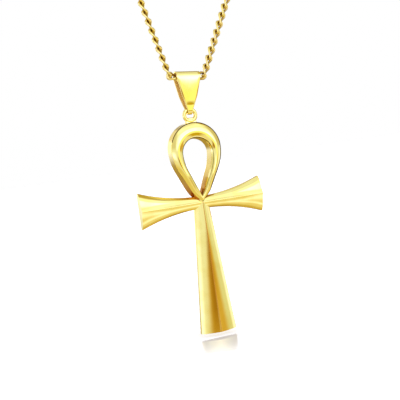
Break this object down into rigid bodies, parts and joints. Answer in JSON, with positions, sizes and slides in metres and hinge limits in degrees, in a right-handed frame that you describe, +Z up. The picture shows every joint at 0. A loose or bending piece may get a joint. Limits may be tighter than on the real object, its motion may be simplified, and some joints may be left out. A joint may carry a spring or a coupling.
{
  "type": "ankh cross pendant necklace",
  "caption": "Looped cross with ridged flaring arms, hung by a soldered ring from a folded tapered bail on a fine curb chain, worn as a necklace.",
  "frame": {"origin": "at the nape, the middle of the clasp, where the necklace sits on the back of the neck", "axes": "+Z up, -Y towards the front where the pendant hangs, +X to the right as the front is seen"},
  "size_m": [0.1133, 0.1199, 0.1963],
  "materials": {
    "polished_gold": "mirror-polished gold-coloured metal",
    "chain_gold": "polished gold-coloured wire"
  },
  "bodies": {
    "chain": {"chain_left": "chain_gold", "chain_right": "chain_gold", "clasp": "polished_gold", "end_ring_left": "chain_gold", "end_ring_right": "chain_gold"},
    "bail": {"bail": "polished_gold"},
    "ankh": {"ankh_cross": "polished_gold"}
  },
  "joints": [
    {"name": "bail_swing", "type": "hinge", "parent": "chain", "child": "bail", "pos_m": [-0.01545, -0.1157, -0.12877], "axis": [0.9976, 0, -0.0698], "range_deg": [-90, 90]},
    {"name": "ankh_swing", "type": "hinge", "parent": "bail", "child": "ankh", "pos_m": [-0.016, -0.1157, -0.13665], "axis": [1, 0, 0], "range_deg": [-35, 35]}
  ]
}
